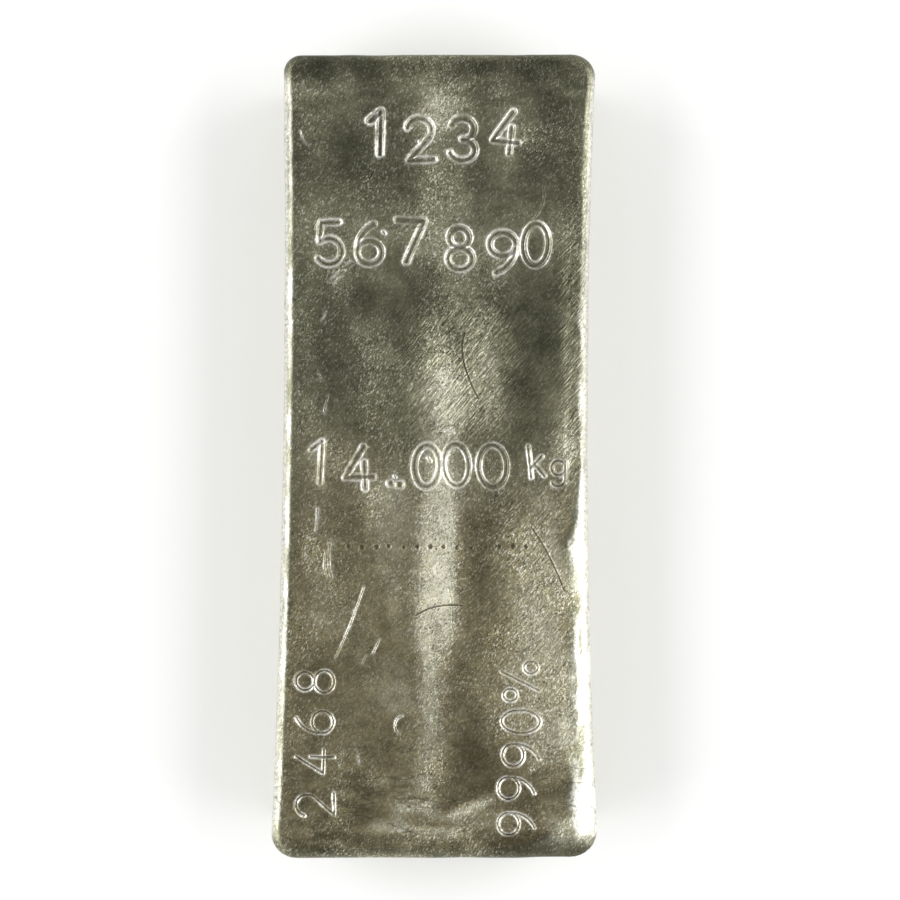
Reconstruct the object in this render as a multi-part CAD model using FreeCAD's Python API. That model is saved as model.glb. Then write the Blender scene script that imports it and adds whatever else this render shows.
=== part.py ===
"""Cast silver bar, poured in an open iron mould and left to freeze in it.

One solid, in millimetres. +Z is up, +Y runs along the bar from its foot to its head, and the origin is the
middle of the base, on the floor that the bar lies on. The rim is the widest level: from there the mould's
draft takes the four sides in towards the base. Seen from above the bar is a little narrower at the waist
than at its ends, the foot is the wider end, and no two plan corners are quite alike. The top sinks to a
shallow dish, where the silver shrank as it froze.
"""

import FreeCAD, Part
import math
import os

# overall sizes
length = 280.0  # over the rim, foot to head
height = 47.8  # base to rim

# plan shape at the rim, its widest level
foot_width = 114.4  # where the lines of the long sides meet the foot's line
waist_width = 106.1  # half way along
head_width = 109.0  # where the side lines meet the head's line
waist_shift = 0.3  # how far the waist's middle lies off the foot's, towards +X
head_shift = 1.9
corner_run = {"foot_left": 9.2, "foot_right": 10.2, "head_left": 6.6, "head_right": 9.0}
corner_weight = 0.707  # a circle's arc on a square corner, and more would be squarer

# section
draft_deg = 7.0  # each side leans in from rim to base
rim_radius = 3.2  # rolled edge where the silver met the mould
base_radius = 5.6  # the mould's floor fillet
tightest_roll = 0.9  # a rolled edge stays under this share of the tightest plan corner it turns

# dish in the top
dish_depth = 1.3
dish_margin_side = 7.0  # flat left between the dish and the long sides, at the waist
dish_margin_end = 12.0  # and at each end
tool_headroom = 5.0  # how far the dish's cutting solid stands above the rim


def point(x, y, z):
    """A vector, in the row frame."""
    return FreeCAD.Vector(x, y, z)


def meet(a, along_a, b, along_b):
    """Where two lines in plan cross: each is a point and a direction."""
    across = along_a.x * along_b.y - along_a.y * along_b.x
    gap = b - a
    t = (gap.x * along_b.y - gap.y * along_b.x) / across
    return a + along_a * t


def conic(start, control, end, weight):
    """A smooth bend from start to end, tangent to the lines that meet at control."""
    curve = Part.BezierCurve()
    curve.setPoles([start, control, end])
    curve.setWeight(2, weight)
    return curve.toShape()


def long_side(side, inset, z):
    """The poles of one long side, foot to head: a parabola through the waist.

    side is +1 or -1. The first and last poles are where the plan corners begin.
    """
    hand = "right" if side > 0 else "left"
    foot = point(side * (foot_width / 2 - inset), -(length / 2 - inset), z)
    head = point(head_shift + side * (head_width / 2 - inset), length / 2 - inset, z)
    waist = point(waist_shift + side * (waist_width / 2 - inset), 0, z)
    control = waist * 2 - (foot + head) * 0.5
    start_share = corner_run["foot_" + hand] / length
    end_share = 1 - corner_run["head_" + hand] / length
    return trim_parabola(foot, control, head, start_share, end_share)


def trim_parabola(a, b, c, low, high):
    """The poles of the stretch of a quadratic curve between two values of its parameter."""

    def blossom(s, t):
        return a * ((1 - s) * (1 - t)) + b * ((1 - s) * t + s * (1 - t)) + c * (s * t)

    return blossom(low, low), blossom(low, high), blossom(high, high)


def outline(inset, z):
    """The closed plan outline at height z, taken in by inset all round."""
    right = long_side(+1, inset, z)
    left = long_side(-1, inset, z)
    half = length / 2 - inset
    ends = {
        "foot_right": point(right[0].x - corner_run["foot_right"], -half, z),
        "foot_left": point(left[0].x + corner_run["foot_left"], -half, z),
        "head_right": point(right[2].x - corner_run["head_right"], half, z),
        "head_left": point(left[2].x + corner_run["head_left"], half, z),
    }
    across = point(1, 0, 0)

    def corner(side_point, side_direction, name):
        return meet(side_point, side_direction, ends[name], across)

    foot_right = corner(right[0], right[1] - right[0], "foot_right")
    head_right = corner(right[2], right[2] - right[1], "head_right")
    foot_left = corner(left[0], left[1] - left[0], "foot_left")
    head_left = corner(left[2], left[2] - left[1], "head_left")
    edges = [
        Part.makeLine(ends["foot_left"], ends["foot_right"]),
        conic(ends["foot_right"], foot_right, right[0], corner_weight),
        conic(*right, 1.0),
        conic(right[2], head_right, ends["head_right"], corner_weight),
        Part.makeLine(ends["head_right"], ends["head_left"]),
        conic(ends["head_left"], head_left, left[2], corner_weight),
        conic(*reversed(left), 1.0),
        conic(left[0], foot_left, ends["foot_left"], corner_weight),
    ]
    return Part.Wire(edges)


def drafted_block():
    """The bar before its top sinks: drafted sides, rolled rim and rounded base edge.

    Rolling the rim takes a little off the widest level, so the sharp block is that much larger.
    """
    largest_roll = tightest_roll * min(corner_run.values())
    rim_roll = min(rim_radius, largest_roll)
    base_roll = min(base_radius, largest_roll)
    draft = math.radians(draft_deg)
    lost_to_rolling = rim_roll * ((1 + math.sin(draft)) / math.cos(draft) - 1)
    base_inset = height * math.tan(draft) - lost_to_rolling
    block = Part.makeLoft([outline(base_inset, 0), outline(-lost_to_rolling, height)], True, True)
    base_edges = [e for e in block.Edges if e.BoundBox.ZMax < height / 2]
    block = block.makeFillet(base_roll, base_edges)
    rim_edges = [e for e in block.Edges if e.BoundBox.ZMin > height / 2]
    return block.makeFillet(rim_roll, rim_edges)


def dish_tool():
    """The solid that hollows the top: an arc across the bar, swung about a high axis across it.

    Both radii come from the dish's depth and the half width and half length where it meets the rim's level.
    """
    half_wide = waist_width / 2 - dish_margin_side
    half_long = length / 2 - dish_margin_end
    floor = height - dish_depth
    across_radius = half_wide**2 / (2 * dish_depth)
    along_radius = half_long**2 / (2 * dish_depth)
    top = height + tool_headroom
    reach = half_wide + dish_margin_side
    lift = across_radius - math.sqrt(across_radius**2 - reach**2)
    low_left = point(waist_shift - reach, 0, floor + lift)
    low_right = point(waist_shift + reach, 0, floor + lift)
    top_left = point(waist_shift - reach, 0, top)
    top_right = point(waist_shift + reach, 0, top)
    arc = Part.Arc(low_left, point(waist_shift, 0, floor), low_right).toShape()
    sides = [
        Part.makeLine(low_right, top_right),
        Part.makeLine(top_right, top_left),
        Part.makeLine(top_left, low_left),
    ]
    section = Part.Face(Part.Wire([arc] + sides))
    axis_point = point(0, 0, floor + along_radius)
    swing = math.degrees(math.asin((half_long + dish_margin_end) / along_radius))
    section.rotate(axis_point, point(1, 0, 0), -swing)
    return section.revolve(axis_point, point(1, 0, 0), 2 * swing)


def centred(bar):
    """The bar moved so that its own box is centred on the origin and stands on the floor."""
    box = bar.optimalBoundingBox(False)
    bar.translate(point(-box.Center.x, -box.Center.y, -box.ZMin))
    return bar


def silver_bar():
    """The whole casting, as one solid."""
    casting = drafted_block().cut(dish_tool())
    return centred(casting.Solids[0])


os.makedirs("parts", exist_ok=True)
bar = silver_bar()
bar.exportStep("parts/silver_bar.step")
box = bar.optimalBoundingBox(False)
print("size", round(box.XLength, 3), round(box.YLength, 3), round(box.ZLength, 3))
print("x", round(box.XMin, 3), round(box.XMax, 3), "y", round(box.YMin, 3), round(box.YMax, 3))
print("volume cm3", round(bar.Volume / 1000, 2), "valid", bar.isValid(), "solids", len(bar.Solids))
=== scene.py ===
"""A cast silver bar lying pour face up, with its punched figures, on a pale studio floor.

The bar is one closed surface. A lattice of quads fills the pour face, loops of points run from its edge out
over the rolled rim, down the drafted sides and round the base's edge, and a second lattice closes the base.
The pour face's lattice is four times finer where a punch, a crack or a scratch needs it.

Sizes in this file are in millimetres, +Z is up and +Y runs from the bar's foot to its head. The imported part
gives the length, width and height, and every other size follows from those.
"""

import logging
import math
from collections.abc import Iterator
from dataclasses import dataclass, field
from enum import Enum
from typing import TypeAlias

import bpy
import numpy as np
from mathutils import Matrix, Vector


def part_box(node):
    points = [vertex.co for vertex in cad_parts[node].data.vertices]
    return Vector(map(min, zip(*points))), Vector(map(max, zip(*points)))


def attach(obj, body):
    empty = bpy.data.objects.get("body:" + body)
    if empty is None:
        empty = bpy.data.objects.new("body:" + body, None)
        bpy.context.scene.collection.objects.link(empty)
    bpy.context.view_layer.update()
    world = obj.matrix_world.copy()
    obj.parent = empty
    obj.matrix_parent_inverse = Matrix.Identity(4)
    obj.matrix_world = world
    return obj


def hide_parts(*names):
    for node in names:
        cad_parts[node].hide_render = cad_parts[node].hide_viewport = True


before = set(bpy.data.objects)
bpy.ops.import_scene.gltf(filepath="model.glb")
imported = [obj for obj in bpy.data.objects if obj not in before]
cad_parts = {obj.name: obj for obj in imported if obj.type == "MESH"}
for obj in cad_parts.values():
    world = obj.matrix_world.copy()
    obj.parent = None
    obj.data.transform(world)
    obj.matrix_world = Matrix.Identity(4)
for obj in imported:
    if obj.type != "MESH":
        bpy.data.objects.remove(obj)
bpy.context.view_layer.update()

MM = 0.001
NODE = "silver_bar"
PIECE = "silver_bar_cast"

LIP_OUT = 0.15
LIP_HALF_WIDTH = 0.3
LIGHTEST_STRIKE = 0.12
HARDEST_STRIKE = 1.7
MARK_MARGIN = 1.2
PATCH_POWER = 1.4

log = logging.getLogger("silver_bar")


# ---------------------------------------------------------------------------------------------------------
# Curves and fields


def ease(value: np.ndarray, low: float, high: float) -> np.ndarray:
    """Rises from 0 at low to 1 at high as 3 t squared less 2 t cubed, and works with low above high."""
    share = np.clip((value - low) / (high - low), 0.0, 1.0)
    return share * share * (3.0 - 2.0 * share)


def hump(value: np.ndarray, middle: float, half_width: float) -> np.ndarray:
    """A bell: e to the minus square of the distance from the middle, in half widths."""
    return np.exp(-(((value - middle) / half_width) ** 2))


@dataclass(frozen=True)
class Noise:
    """Smooth random values between -1 and 1 on a lattice of cells.

    Each lattice corner has its own value from a seeded table, and a point takes the eased mean of the corners
    round it.
    """

    cell: float
    seed: int
    table_size: int = 4096

    def at(self, *axes: np.ndarray) -> np.ndarray:
        """The value at points given by their coordinates.

        Args:
            axes: two or three coordinate arrays of one shape.

        Returns:
            One value for each point.
        """
        table = np.random.default_rng(self.seed).uniform(-1.0, 1.0, self.table_size)
        strides = (73856093, 19349663, 83492791)
        scaled = [axis / self.cell for axis in axes]
        whole = [np.floor(axis).astype(np.int64) for axis in scaled]
        eased = [ease(axis - floor, 0.0, 1.0) for axis, floor in zip(scaled, whole)]
        total = np.zeros(np.shape(axes[0]))
        for corner in range(2 ** len(axes)):
            weight = np.ones_like(total)
            key = np.zeros(np.shape(total), np.int64)
            for number, (floor, share) in enumerate(zip(whole, eased)):
                bit = corner >> number & 1
                weight = weight * (share if bit else 1.0 - share)
                key = key ^ ((floor + bit) * strides[number])
            total += weight * table[key % self.table_size]
        return total


Path = np.ndarray


def arc(x: float, y: float, across: float, up: float, start: float, end: float, steps: int = 18) -> Path:
    """Points on an ellipse about (x, y), from one angle to another, in degrees from +X."""
    angle = np.radians(np.linspace(start, end, steps + 1))
    return np.column_stack([x + across * np.cos(angle), y + up * np.sin(angle)])


def line(*corners: float) -> Path:
    """Straight runs through corners given as x, y, x, y and so on."""
    return np.array(corners, float).reshape(-1, 2)


def bend(first: tuple, middle: tuple, last: tuple, steps: int = 12) -> Path:
    """The quadratic curve that passes through three points, the middle one half way."""
    share = np.linspace(0.0, 1.0, steps + 1)[:, None]
    start, half, end = (np.array(p, float) for p in (first, middle, last))
    return (
        start * (1 - share) * (1 - 2 * share)
        + half * 4 * share * (1 - share)
        + end * share * (2 * share - 1)
    )


def distance_to(path: Path, x: np.ndarray, y: np.ndarray) -> np.ndarray:
    """How far points lie from a path, which is the least of their distances from its runs."""
    start, run = path[:-1], np.diff(path, axis=0)
    length_squared = np.maximum((run**2).sum(1), 1e-12)
    dx = x[:, None] - start[:, 0]
    dy = y[:, None] - start[:, 1]
    share = np.clip((dx * run[:, 0] + dy * run[:, 1]) / length_squared, 0.0, 1.0)
    gap = np.hypot(dx - share * run[:, 0], dy - share * run[:, 1])
    return gap.min(1)


# ---------------------------------------------------------------------------------------------------------
# Punches and other marks


class PunchFont:
    """Single-stroke figures drawn in a cell one high, with their left foot at the origin."""

    FIGURES: dict[str, list[Path]] = {
        "0": [arc(0.31, 0.5, 0.28, 0.47, 0, 360, 30)],
        "1": [line(0.10, 0.76, 0.34, 0.96), line(0.34, 0.96, 0.34, 0.03)],
        "2": [arc(0.31, 0.70, 0.26, 0.27, 165, -38), line(0.515, 0.53, 0.05, 0.04, 0.59, 0.04)],
        "3": [arc(0.30, 0.73, 0.24, 0.24, 160, -90), arc(0.31, 0.265, 0.27, 0.235, 90, -160)],
        "4": [line(0.43, 0.97, 0.03, 0.29, 0.61, 0.29), line(0.43, 0.62, 0.43, 0.03)],
        "5": [line(0.53, 0.96, 0.14, 0.96, 0.09, 0.55), arc(0.29, 0.32, 0.28, 0.29, 128, -150)],
        "6": [arc(0.31, 0.29, 0.27, 0.26, 0, 360, 28), arc(0.66, 0.33, 0.62, 0.64, 176, 112)],
        "7": [line(0.04, 0.95, 0.58, 0.95, 0.26, 0.03)],
        "8": [arc(0.31, 0.74, 0.22, 0.22, 0, 360, 26), arc(0.31, 0.27, 0.27, 0.24, 0, 360, 28)],
        "9": [arc(0.31, 0.71, 0.27, 0.26, 0, 360, 28), arc(-0.04, 0.67, 0.62, 0.64, -4, -68)],
        ".": [line(0.10, 0.06, 0.13, 0.06)],
        "%": [
            arc(0.20, 0.77, 0.15, 0.17, 0, 360, 20),
            arc(0.86, 0.25, 0.15, 0.17, 0, 360, 20),
            line(0.78, 0.98, 0.29, 0.06),
        ],
        "k": [line(0.06, 0.98, 0.06, 0.03), line(0.44, 0.62, 0.08, 0.30), line(0.20, 0.41, 0.46, 0.03)],
        "g": [
            arc(0.27, 0.57, 0.23, 0.24, 0, 360, 22),
            line(0.50, 0.80, 0.50, 0.16),
            arc(0.28, 0.16, 0.22, 0.2, 0, -150),
        ],
    }

    @classmethod
    def strokes(cls, figure: str) -> list[Path]:
        """The strokes of one figure."""
        return cls.FIGURES[figure]


@dataclass(frozen=True)
class Section:
    """How one kind of cut is shaped, whether its walls and lip take a painted highlight, and how dark its
    hollow is painted, as soiling and painted shade.

    The hollow is flat over floor_share of its half width, and its lip shows out to lip_reach beyond it. Its
    dirt is dirt plus soil_shade_by_depth times the depth, at most 1, and comes in from soil_shade_from to
    soil_shade_by.
    """

    lip_reach: float
    floor_share: float
    lip_height: float
    shines: bool
    soil_shade: float = 0.0
    soil_shade_by_depth: float = 0.0
    soil_shade_from: float = 0.0
    soil_shade_by: float = 0.4


class Cut(Enum):
    """What made a groove, with its section: flat-bottomed, round, sharp or a fine score."""

    PUNCH = Section(0.55, 0.24, 0.12, True, soil_shade=0.62, soil_shade_from=0.6, soil_shade_by=1.0)
    DOT = Section(0.3, 0.2, 0.0, False, soil_shade=0.95)
    CRACK = Section(0.15, 0.0, 0.02, False, soil_shade_by_depth=3.8)
    SCORE = Section(0.15, 0.0, 0.02, True)


@dataclass(frozen=True)
class Groove:
    """A groove along a path in the pour face."""

    path: Path
    half_width: float
    depth: float
    cut: Cut
    lean: tuple[float, float] = (0.0, 0.0)
    centre: tuple[float, float] = (0.0, 0.0)

    def reach(self) -> float:
        """How far from its path the groove and its raised lip show."""
        return self.half_width + self.cut.value.lip_reach

    def near(self, x: np.ndarray, y: np.ndarray, margin: float) -> np.ndarray:
        """Indices of the points inside the path's box, widened by a margin."""
        low, high = self.path.min(0) - margin, self.path.max(0) + margin
        return np.nonzero((x > low[0]) & (x < high[0]) & (y > low[1]) & (y < high[1]))[0]

    def section(self, gap: np.ndarray) -> tuple[np.ndarray, np.ndarray]:
        """The groove's hollow and its lip at distances from the path.

        The hollow is 1 on the flat bottom and eases to 0 at the half width. The lip is a bell just outside.

        Args:
            gap: distances from the path.

        Returns:
            Shares of the depth for the hollow, and shares of the lip's height.
        """
        hollow = 1.0 - ease(gap, self.cut.value.floor_share * self.half_width, self.half_width)
        lip = hump(gap, self.half_width + LIP_OUT, LIP_HALF_WIDTH)
        return hollow, lip

    def strength(self, x: np.ndarray, y: np.ndarray) -> np.ndarray:
        """How hard the groove was struck at each point: 1, and more on the side that the punch leaned to."""
        push = (x - self.centre[0]) * self.lean[0] + (y - self.centre[1]) * self.lean[1]
        return np.clip(1.0 + push, LIGHTEST_STRIKE, HARDEST_STRIKE)


@dataclass(frozen=True)
class Punch:
    """One figure struck by hand, with its middle at (x, y)."""

    figure: str
    x: float
    y: float
    height: float = 15.6
    turn: float = 0.0
    half_width: float = 1.3
    depth: float = 0.9
    lean: tuple[float, float] = (0.0, 0.0)
    widen: float = 1.0

    def grooves(self) -> list[Groove]:
        """The figure's strokes, sized, turned about its middle and put in place."""
        strokes = PunchFont.strokes(self.figure)
        corners = np.concatenate(strokes)
        middle = (corners.min(0) + corners.max(0)) / 2 if self.figure != "." else np.array([0.11, 0.06])
        angle = math.radians(self.turn)
        turned = np.array([[math.cos(angle), math.sin(angle)], [-math.sin(angle), math.cos(angle)]])
        scale = self.height * np.array([self.widen, 1.0])
        return [
            Groove(
                (stroke - middle) * scale @ turned + (self.x, self.y),
                self.half_width,
                self.depth,
                Cut.PUNCH,
                self.lean,
                (self.x, self.y),
            )
            for stroke in strokes
        ]


@dataclass
class Marks:
    """Every mark cut into the pour face: plain counting figures, a weight, a fineness, dots and damage."""

    small: float = 14.2
    dot_row: float = -31.6
    dot_pitch: float = 4.75
    dot_half_width: float = 1.15
    dot_depth: float = 0.4
    seed: int = 11

    def punches(self) -> list[Punch]:
        """The figures, row by row from the head."""
        return [
            Punch("1", -20.6, 112.4, half_width=1.75, depth=1.1, lean=(-0.04, 0.03), turn=-1),
            Punch("2", -4.9, 110.3, half_width=1.35, turn=3, widen=1.05),
            Punch("3", 9.9, 110.2, half_width=1.45, turn=-2, lean=(0.03, 0.03), widen=1.05),
            Punch("4", 25.0, 112.6, half_width=1.35, turn=-6, lean=(0.0, 0.03)),
            Punch("5", -36.4, 74.0, turn=2, widen=1.02),
            Punch("6", -22.6, 73.8, turn=1, lean=(0.03, 0.0)),
            Punch("7", -8.6, 74.8, half_width=1.55, turn=-3, widen=1.1),
            Punch("8", 8.8, 72.2, half_width=1.35, turn=2, lean=(0.02, 0.03)),
            Punch("9", 23.6, 70.8, half_width=1.35, turn=-2, widen=1.08),
            Punch("0", 35.2, 73.6, turn=-3, lean=(-0.02, -0.03)),
            Punch("1", -41.2, -1.9, turn=-3, half_width=1.1, depth=0.7),
            Punch("4", -26.2, -4.0, half_width=1.3, turn=2, widen=1.1),
            Punch(".", -15.4, -9.4, half_width=1.5, depth=0.9, lean=(0.1, 0.0)),
            Punch(".", -12.2, -9.9, half_width=1.9, depth=0.9),
            Punch("0", -2.6, -3.4, half_width=1.3, turn=-2, lean=(-0.03, -0.02)),
            Punch("0", 7.6, -3.0, half_width=1.1, turn=4, depth=0.75, lean=(0.02, 0.03)),
            Punch("0", 20.2, -3.4, half_width=1.15, turn=2, widen=1.12),
            Punch("k", 35.4, -1.6, height=11.5, half_width=0.9, turn=6, depth=0.65),
            Punch("g", 43.0, -6.0, height=10.5, half_width=0.8, turn=-3, depth=0.6),
            *self.sideways("2468", -41.4, (-121.0, -106.0, -92.4, -78.2), 0.62, 0.45),
            *self.sideways("99", 28.4, (-127.6, -115.4), 0.62, 0.38),
            Punch(".", 33.9, -108.6, height=self.small, half_width=0.7, depth=0.4),
            *self.sideways("90", 30.0, (-103.8, -92.2), 0.68, 0.5),
            *self.sideways("%", 29.8, (-78.2,), 0.62, 0.45),
        ]

    def sideways(
        self, figures: str, x: float, places: tuple[float, ...], half_width: float, depth: float
    ) -> list[Punch]:
        """Lighter figures that read from foot to head, struck in a line along the bar.

        Args:
            figures: the figures in reading order.
            x: the line's middle.
            places: each figure's middle along the bar.
            half_width: half a stroke's width.
            depth: how deep the strokes are.

        Returns:
            One punch for each figure.
        """
        return [
            Punch(figure, x, y, self.small, 90.0 + (-1) ** number * 1.5, half_width, depth)
            for number, (figure, y) in enumerate(zip(figures, places))
        ]

    def dots(self) -> list[Groove]:
        """A row of dots across the bar, pricked a little unevenly."""
        random = np.random.default_rng(self.seed)
        found = []
        for x in np.arange(-29.8, 36.0, self.dot_pitch):
            place = line(x, self.dot_row, x + 0.05, self.dot_row) + random.normal(0.0, 0.22, 2)
            size = random.uniform(0.8, 1.1)
            found.append(Groove(place, self.dot_half_width * size, self.dot_depth * size, Cut.DOT))
        return found

    def damage(self) -> list[Groove]:
        """Cracks where the skin folded as it froze, the longer scores, and small dents beside the figures
        whose bright walls are painted glare.
        """
        cracks = [
            (bend((10.6, 43.0), (10.2, 33.0), (15.4, 20.0)), 0.50, 0.26),
            (bend((9.6, 33.0), (3.0, 38.6), (-3.0, 35.6)), 0.40, 0.16),
            (bend((-6.4, -55.4), (1.0, -52.2), (9.8, -52.0)), 0.42, 0.28),
            (bend((5.2, -46.4), (5.8, -62.0), (-0.4, -71.6)), 0.36, 0.13),
            (bend((33.6, -24.6), (39.5, -34.0), (45.2, -46.8)), 0.44, 0.26),
            (bend((37.8, 94.0), (37.6, 88.0), (34.6, 82.6)), 0.38, 0.2),
            (bend((-34.0, -93.8), (-27.0, -93.0), (-21.5, -90.8)), 0.4, 0.14),
            (bend((4.2, -95.8), (14.0, -95.0), (25.0, -89.8)), 0.4, 0.16),
            (bend((41.5, -21.6), (43.6, -22.2), (46.0, -21.8)), 0.34, 0.18),
            (bend((-9.0, 44.6), (1.4, 45.6), (9.2, 30.0)), 0.26, 0.06),
        ]
        scores = [
            (bend((-24.4, -45.2), (-28.9, -57.6), (-34.3, -70.0)), 0.40, 0.22),
            (line(-19.0, -63.6, -21.4, -68.6), 0.40, 0.20),
            (line(-23.6, -69.0, -25.0, -72.0), 0.34, 0.14),
            (arc(-10.8, -93.6, 2.9, 3.4, 95, 245), 0.46, 0.24),
            (line(-37.0, 60.6, -29.0, 68.0), 0.36, 0.16),
            (line(-34.6, 60.4, -28.4, 66.2), 0.3, 0.12),
            (bend((-46.4, 113.0), (-45.6, 110.0), (-43.6, 108.0)), 0.32, 0.12),
            (bend((-37.6, -33.0), (-38.2, -38.0), (-37.2, -42.0)), 0.44, 0.2),
            (bend((0.6, -37.0), (0.0, -40.0), (1.2, -42.0)), 0.40, 0.16),
            (bend((-33.4, -108.0), (-32.0, -104.6), (-31.8, -102.0)), 0.3, 0.1),
            (bend((-27.6, -100.0), (-26.6, -104.0), (-26.2, -106.6)), 0.3, 0.12),
            (line(-40.6, -18.0, -41.0, -26.0), 0.5, 0.12),
            (bend((-36.0, -30.0), (-36.6, -36.0), (-35.6, -42.0)), 0.7, 0.15),
            (line(-37.6, 50.5, -39.2, 46.8), 0.4, 0.15),
            (line(-36.8, 21.5, -38.4, 15.0), 0.4, 0.15),
            (line(-40.2, 29.0, -38.8, 26.0), 0.35, 0.12),
        ]
        # Small dents beside the figures, their bright walls painted glare.
        glare_dents = [
            (line(-2.2, -0.6, -1.4, -1.8), 1.0, 0.3),
            (line(-30.8, -6.2, -30.4, -7.0), 0.9, 0.3),
            (line(-17.8, 78.0, -17.2, 77.4), 1.1, 0.3),
            (line(-5.2, 109.4, -4.6, 108.6), 1.0, 0.3),
            (line(-13.9, -6.8, -13.4, -7.4), 0.8, 0.25),
            (line(4.0, 8.4, 6.6, 8.0), 0.9, 0.25),
        ]
        return [Groove(*c, Cut.CRACK) for c in cracks] + [Groove(*s, Cut.SCORE) for s in scores + glare_dents]

    def grooves(self) -> list[Groove]:
        """All the grooves, in the order that they are cut."""
        struck = [groove for punch in self.punches() for groove in punch.grooves()]
        return struck + self.dots() + self.damage()


# ---------------------------------------------------------------------------------------------------------
# Plan outline


class Side(Enum):
    """The four sides in the order that a loop visits them, seen from above against the clock."""

    FOOT = 0
    RIGHT = 1
    HEAD = 2
    LEFT = 3


@dataclass(frozen=True)
class LongSide:
    """One long side in plan: x = waist + lean u + flare u squared, where u is y over the half length."""

    waist: float
    lean: float
    flare: float

    def at(self, u: np.ndarray) -> np.ndarray:
        """The side's x at a share of the half length."""
        return self.waist + self.lean * u + self.flare * u * u


@dataclass
class BarPlan:
    """The bar's outline from above, and the closed loops of points that follow it.

    A loop starts in the middle of the foot's left corner. Each corner takes corner_cells steps, half of them
    counted with the side before it and half with the side after.
    """

    half_width: float
    half_length: float
    columns: int
    rows: int
    corner_cells: int = 8
    corner_weight: float = 0.707
    least_run: float = 1.4
    right_share: tuple[float, float, float] = (0.9402, -0.0073, 0.0612)
    left_share: tuple[float, float, float] = (-0.9297, 0.0404, -0.0378)
    corner_runs: tuple[float, float, float, float] = (9.2, 10.2, 9.0, 6.6)
    wave_depth: float = 0.42
    wave_cell: float = 9.0
    right: LongSide = field(init=False)
    left: LongSide = field(init=False)
    waviness: np.ndarray = field(init=False)

    def __post_init__(self) -> None:
        """Sizes the long sides from the half width, and works out how the mould's edge wanders.

        The wander is a smooth noise round a circle whose length is the loop's, so that it closes on itself.
        """
        around = 2.0 * math.pi * np.arange(self.count()) / self.count()
        radius = 2.0 * (self.half_width + self.half_length) / math.pi
        ring = (radius * np.cos(around), radius * np.sin(around))
        wander = Noise(self.wave_cell, 91).at(*ring) + 0.8 * Noise(3.0 * self.wave_cell, 92).at(*ring)
        self.waviness = self.wave_depth * (0.5 + 0.3 * wander)
        self.right = LongSide(*(share * self.half_width for share in self.right_share))
        self.left = LongSide(*(share * self.half_width for share in self.left_share))

    def cells(self, side: Side) -> int:
        """How many steps a loop takes along a side."""
        return self.columns if side in (Side.FOOT, Side.HEAD) else self.rows

    def count(self) -> int:
        """How many points a loop has."""
        return 2 * (self.columns + self.rows)

    def long_x(self, right: bool, y: np.ndarray, inset: np.ndarray) -> np.ndarray:
        """The x of a long side, taken in by the inset."""
        u = y / self.half_length
        return self.right.at(u) - inset if right else self.left.at(u) + inset

    def corner(self, number: int, share: np.ndarray, inset: np.ndarray) -> np.ndarray:
        """Points on one plan corner, a conic tangent to both sides.

        Args:
            number: 0 foot left, 1 foot right, 2 head right, 3 head left.
            share: 0 where the loop enters the corner, 1 where it leaves.
            inset: how far each point is taken in.

        Returns:
            One (x, y) for each share.
        """
        right = number in (1, 2)
        up = 1.0 if number >= 2 else -1.0
        across = 1.0 if right else -1.0
        run = np.maximum(self.corner_runs[number] - inset, self.least_run)
        end_y = up * (self.half_length - inset)
        control = np.column_stack([self.long_x(right, end_y, inset), end_y])
        on_end = control - np.column_stack([across * run, np.zeros_like(run)])
        side_y = end_y - up * run
        on_long = np.column_stack([self.long_x(right, side_y, inset), side_y])
        first, last = (on_end, on_long) if number in (1, 3) else (on_long, on_end)
        t = share[:, None]
        pull = 2.0 * self.corner_weight * t * (1.0 - t)
        total = (1.0 - t) ** 2 + pull + t * t
        return ((1.0 - t) ** 2 * first + pull * control + t * t * last) / total

    def straight(self, side: Side, share: np.ndarray, inset: np.ndarray) -> np.ndarray:
        """Points on a side between its two corners, by the share of the way along it."""
        number = side.value
        start = self.corner(number, np.ones_like(share), inset)
        end = self.corner((number + 1) % 4, np.zeros_like(share), inset)
        mixed = start + (end - start) * share[:, None]
        if side in (Side.RIGHT, Side.LEFT):
            mixed[:, 0] = self.long_x(side is Side.RIGHT, mixed[:, 1], inset)
        return mixed

    def loop(self, inset: np.ndarray | float) -> np.ndarray:
        """A closed loop of points parallel to the outline.

        Args:
            inset: how far inside the outline, one number or one for each point.

        Returns:
            An (n, 2) array of x and y.
        """
        insets = inset + self.waviness
        half = self.corner_cells // 2
        parts = []
        begin = 0
        for side in Side:
            cells = self.cells(side)
            steps = np.arange(cells)
            here = insets[begin : begin + cells]
            leaving = self.corner(side.value, np.clip(0.5 + steps / (2 * half), 0.0, 1.0), here)
            plain = self.straight(side, np.clip((steps - half) / (cells - 2 * half), 0.0, 1.0), here)
            share = np.clip((steps - cells + half) / (2 * half), 0.0, 1.0)
            entering = self.corner((side.value + 1) % 4, share, here)
            part = np.where(steps[:, None] < half, leaving, plain)
            parts.append(np.where(steps[:, None] > cells - half, entering, part))
            begin += cells
        return np.concatenate(parts)

    def patch(self, inset: float) -> np.ndarray:
        """A lattice of points inside a loop, by Coons' blend of its four sides.

        The blend is the mean across, plus the mean up, less the mean of the four corners.

        Args:
            inset: the loop's inset.

        Returns:
            A (rows + 1, columns + 1, 2) array.
        """
        loop = self.loop(inset)
        c, r = self.columns, self.rows
        foot, right = loop[: c + 1], loop[c : c + r + 1]
        head = loop[c + r : 2 * c + r + 1][::-1]
        left = np.concatenate([loop[2 * c + r :], loop[:1]])[::-1]
        s = np.linspace(0.0, 1.0, c + 1)[None, :, None]
        t = np.linspace(0.0, 1.0, r + 1)[:, None, None]
        across = (1 - s) * left[:, None] + s * right[:, None]
        up = (1 - t) * foot[None] + t * head[None]
        corners = (1 - t) * ((1 - s) * foot[0] + s * foot[-1]) + t * ((1 - s) * head[0] + s * head[-1])
        return across + up - corners

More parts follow.
